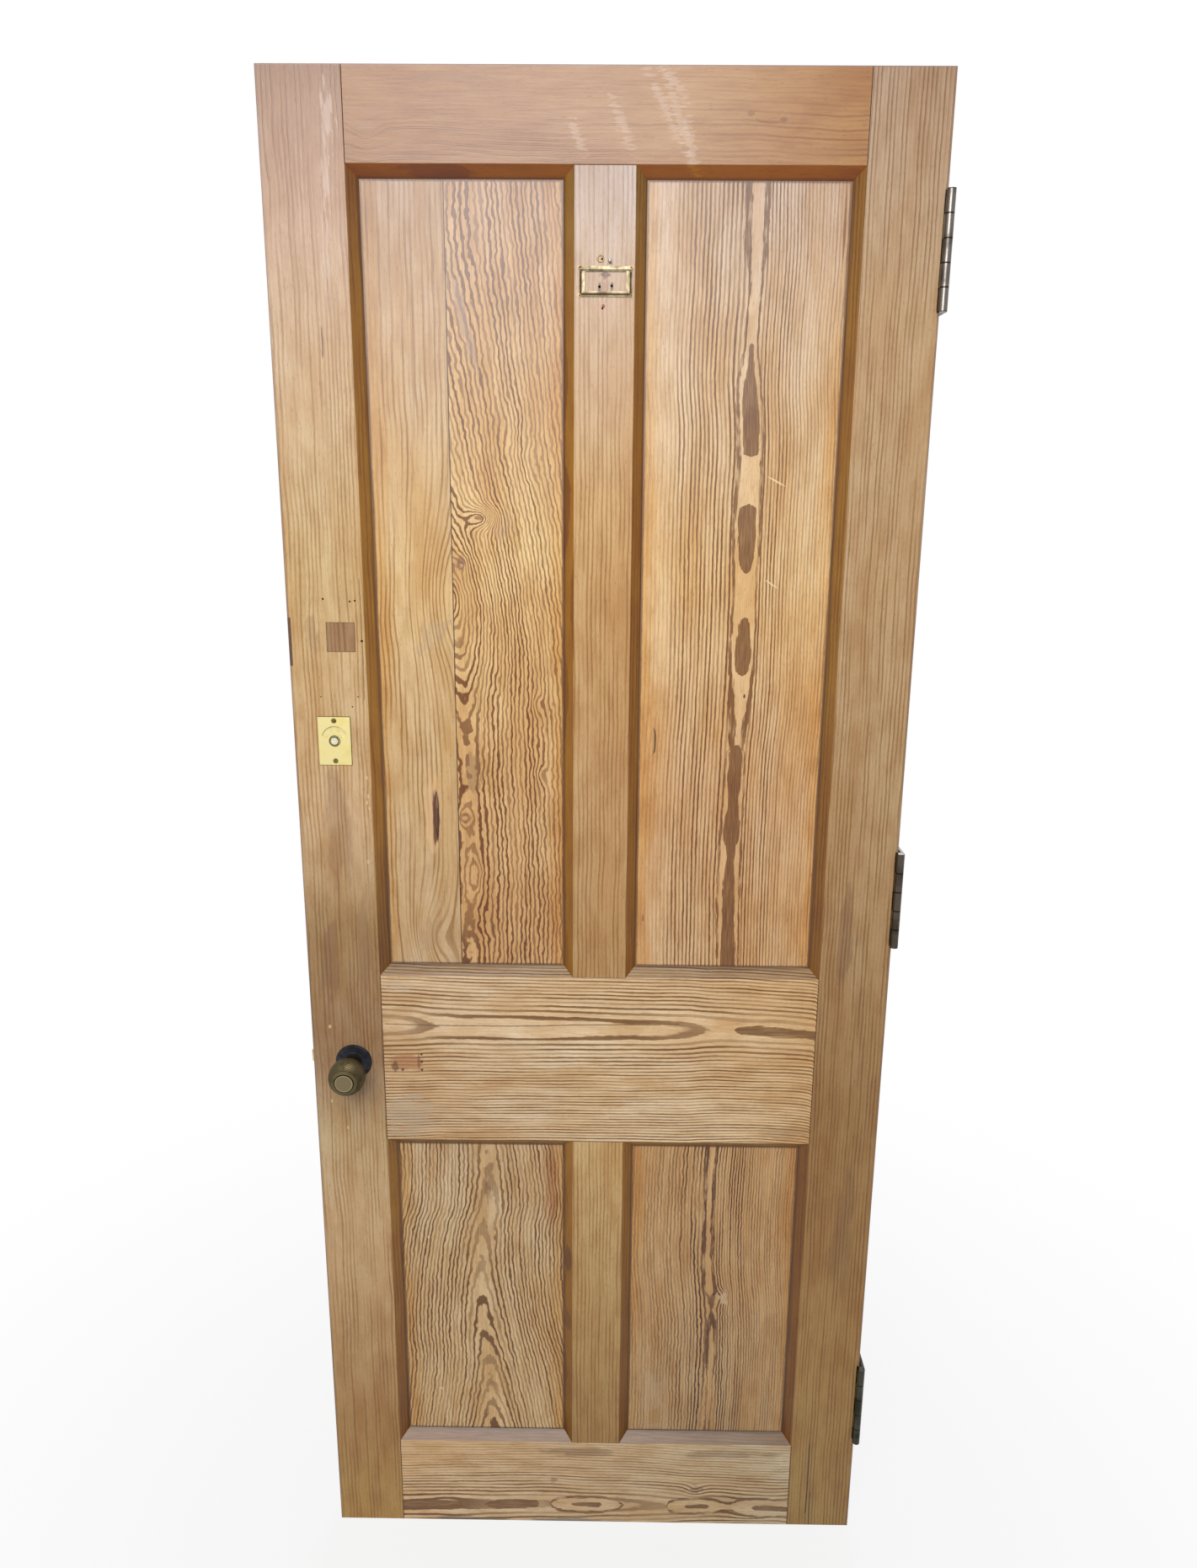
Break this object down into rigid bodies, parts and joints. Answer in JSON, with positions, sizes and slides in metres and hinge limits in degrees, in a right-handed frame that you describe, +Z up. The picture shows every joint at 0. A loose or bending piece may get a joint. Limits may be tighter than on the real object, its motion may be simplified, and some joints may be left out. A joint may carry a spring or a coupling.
{
  "type": "panelled interior door",
  "caption": "Solid pine panelled interior door leaf with splayed framing, butt hinges, ringed knobs on a mortise latch, a privacy bolt with an indicator plate, and a card frame.",
  "frame": {"origin": "under the middle of the leaf, half way through its thickness, at its bottom edge", "axes": "+X from the lock edge to the hinge edge, +Y from the near face (hinge knuckles, indicator plate) to the far face (bolt), +Z up"},
  "size_m": [0.775, 0.163, 1.95],
  "materials": {
    "pine": "waxed reclaimed pine, satin",
    "pine_panel": "waxed reclaimed pine boards, satin",
    "pine_wedge": "end grain, waxed",
    "pine_patch": "let-in pine patch, waxed",
    "aged_bronze": "olive-brown patina with worn ridges",
    "black_iron": "black, slightly glossy",
    "dark_steel": "dark oiled steel",
    "worn_steel": "bare steel, worn",
    "steel": "bare pressed steel",
    "polished_brass": "polished, pale yellow",
    "tarnished_brass": "tarnished, bright on the edges",
    "indicator_enamel": "cream enamel"
  },
  "bodies": {
    "frame_leaves": {"top_hinge_frame_leaf": "dark_steel", "top_hinge_pin": "worn_steel", "middle_hinge_frame_leaf": "dark_steel", "middle_hinge_pin": "worn_steel", "bottom_hinge_frame_leaf": "dark_steel", "bottom_hinge_pin": "worn_steel"},
    "knob": {"front_knob": "aged_bronze", "back_knob": "aged_bronze", "knob_spindle": "steel", "knob_grub_screws": "steel", "latch_follower": "steel"},
    "latch": {"latch_bolt": "polished_brass"},
    "indicator": {"indicator_disc": "indicator_enamel", "release_head": "polished_brass", "indicator_spindle": "steel", "bolt_crank": "steel", "thumb_turn": "polished_brass"},
    "privacy_bolt": {"privacy_bolt": "polished_brass"},
    "door": {"back_rose": "black_iron", "bolt_housing": "polished_brass", "bolt_housing_screws": "polished_brass", "bottom_hinge_door_leaf": "dark_steel", "bottom_hinge_screws": "dark_steel", "bottom_rail": "pine", "bottom_rail_wedges": "pine_wedge", "card_frame": "tarnished_brass", "card_frame_pins": "black_iron", "edge_patch": "pine_patch", "forend_screws": "polished_brass", "front_rose": "black_iron", "hinge_stile": "pine", "indicator_plate": "polished_brass", "indicator_plate_screws": "polished_brass", "latch_case": "steel", "latch_cover": "steel", "latch_cover_screws": "steel", "latch_forend": "polished_brass", "latch_spring": "steel", "lock_rail": "pine", "lock_rail_wedges": "pine_wedge", "lock_stile": "pine", "lower_left_panel": "pine_panel", "lower_muntin": "pine", "lower_right_panel": "pine_panel", "middle_hinge_door_leaf": "dark_steel", "middle_hinge_screws": "dark_steel", "rose_screws": "black_iron", "square_patch": "pine_patch", "top_hinge_door_leaf": "dark_steel", "top_hinge_screws": "dark_steel", "top_rail": "pine", "top_rail_wedges": "pine_wedge", "upper_left_panel_inner_board": "pine_panel", "upper_left_panel_outer_board": "pine_panel", "upper_muntin": "pine", "upper_right_panel": "pine_panel"}
  },
  "joints": [
    {"name": "door_swing", "type": "hinge", "parent": "frame_leaves", "child": "door", "pos_m": [0.3829, -0.0255, 0], "axis": [0, 0, 1], "range_deg": [0, 175]},
    {"name": "knob_turn", "type": "hinge", "parent": "door", "child": "knob", "pos_m": [-0.327, 0, 0.7597], "axis": [0, 1, 0], "range_deg": [0, 30]},
    {"name": "latch_slide", "type": "slide", "parent": "door", "child": "latch", "axis": [1, 0, 0], "range_m": [0, 0.006], "stiffness_N_per_m": 300, "springref_m": -0.01, "deforming": ["latch_spring"]},
    {"name": "indicator_turn", "type": "hinge", "parent": "door", "child": "indicator", "pos_m": [-0.3305, 0, 1.1995], "axis": [0, 1, 0], "range_deg": [0, 90]},
    {"name": "bolt_throw", "type": "slide", "parent": "door", "child": "privacy_bolt", "axis": [-1, 0, 0], "range_m": [0, 0.01301]}
  ],
  "couplings": [
    {"joint": "latch_slide", "follows": "knob_turn", "m_per_rad": 0.011459},
    {"joint": "bolt_throw", "follows": "indicator_turn", "m_per_rad": 0.0082761}
  ]
}
